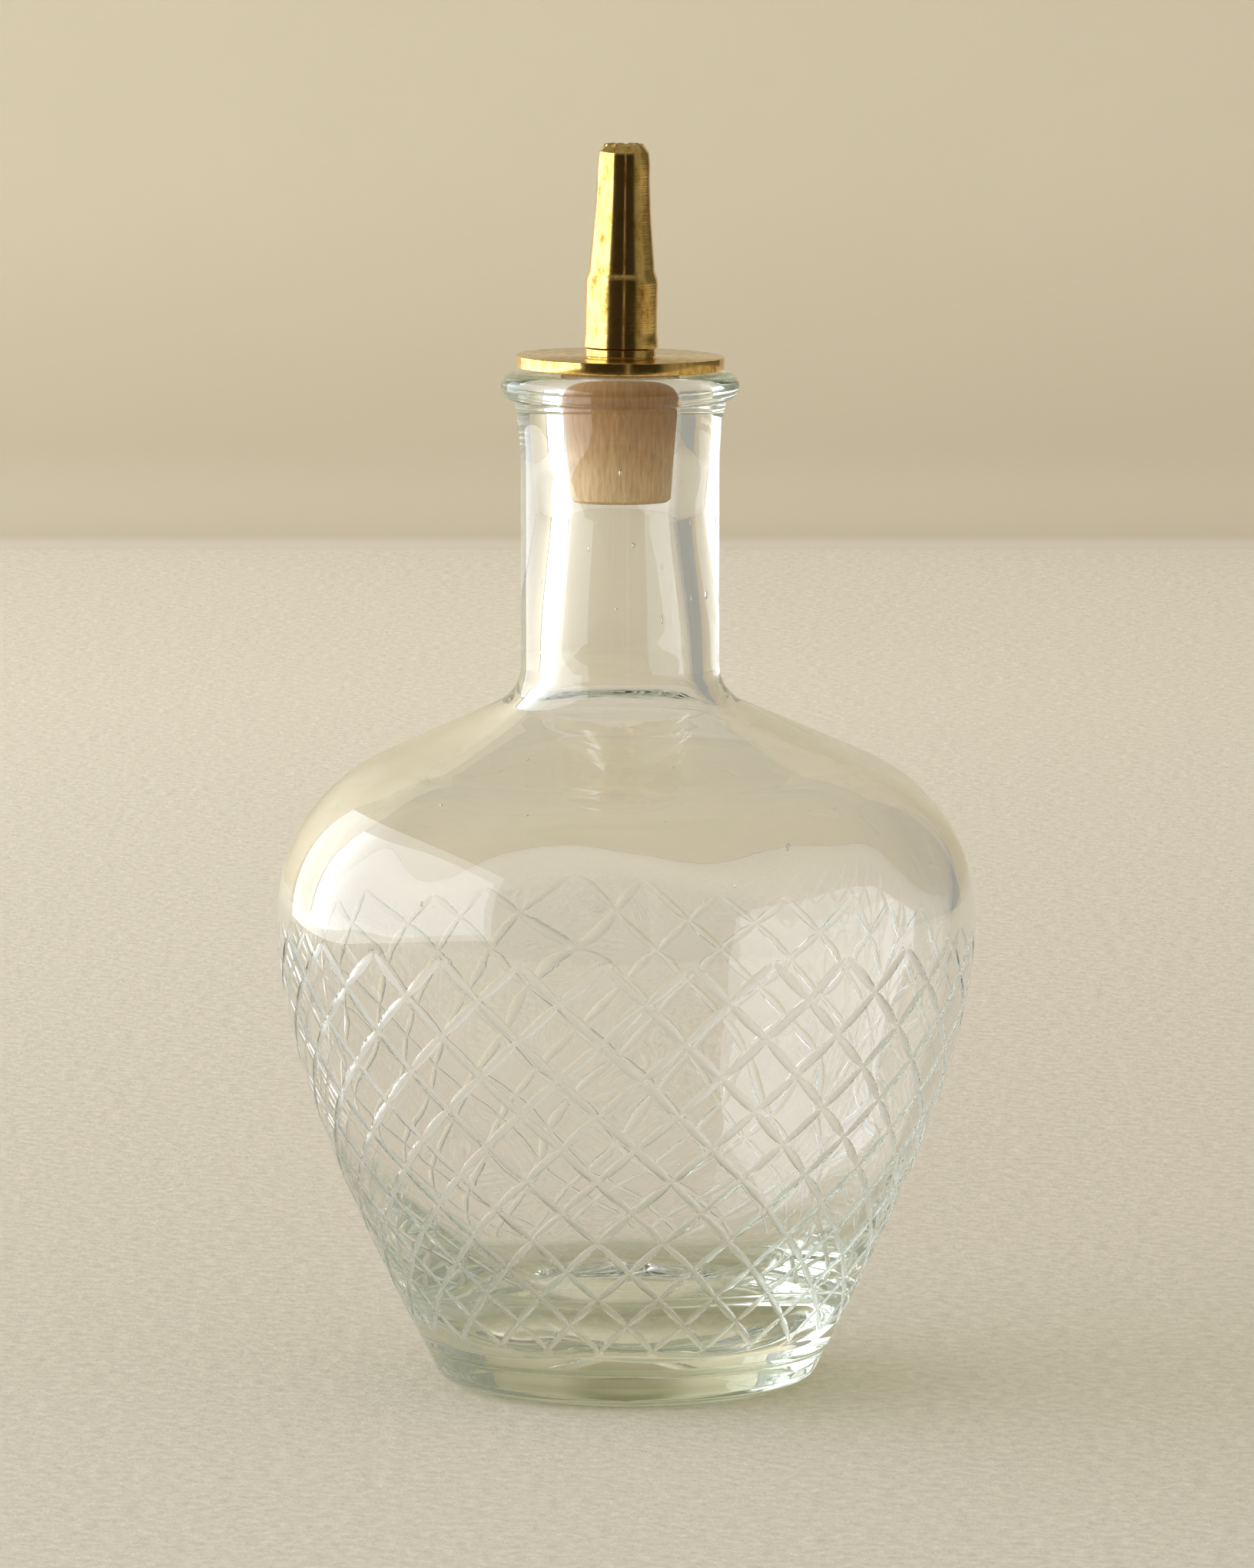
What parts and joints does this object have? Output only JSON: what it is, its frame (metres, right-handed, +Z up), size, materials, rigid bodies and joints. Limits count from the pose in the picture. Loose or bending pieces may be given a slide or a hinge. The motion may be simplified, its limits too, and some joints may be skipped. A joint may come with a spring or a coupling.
{
  "type": "bitters bottle",
  "caption": "Cut-glass bitters bottle with a round body, a narrow neck with a rolled lip, and a cork dasher top with a brass flange and a tapered spout.",
  "frame": {"origin": "centre of the ring that the glass stands on", "axes": "+Z up along the bottle's axis, towards the spout; +X to the right and +Y away from the viewer in the picture"},
  "size_m": [0.0842, 0.0842, 0.1497],
  "materials": {
    "glass": "clear blown glass, cut with a crossing lattice round its sides",
    "cork": "fine upright grain, unsealed",
    "brass": "polished, with fine turning marks"
  },
  "bodies": {
    "bottle": {"bottle": "glass"},
    "dasher": {"stopper": "cork", "stem_tube": "brass", "flange_plate": "brass"},
    "spout": {"spout": "brass"}
  },
  "joints": [
    {"name": "cork_pull", "type": "slide", "parent": "bottle", "child": "dasher", "axis": [0, 0, 1], "range_m": [0, 0.024]},
    {"name": "spout_turn", "type": "hinge", "parent": "dasher", "child": "spout", "pos_m": [0, 0, 0.1253], "axis": [0, 0, 1], "range_deg": [0, 1260]}
  ]
}
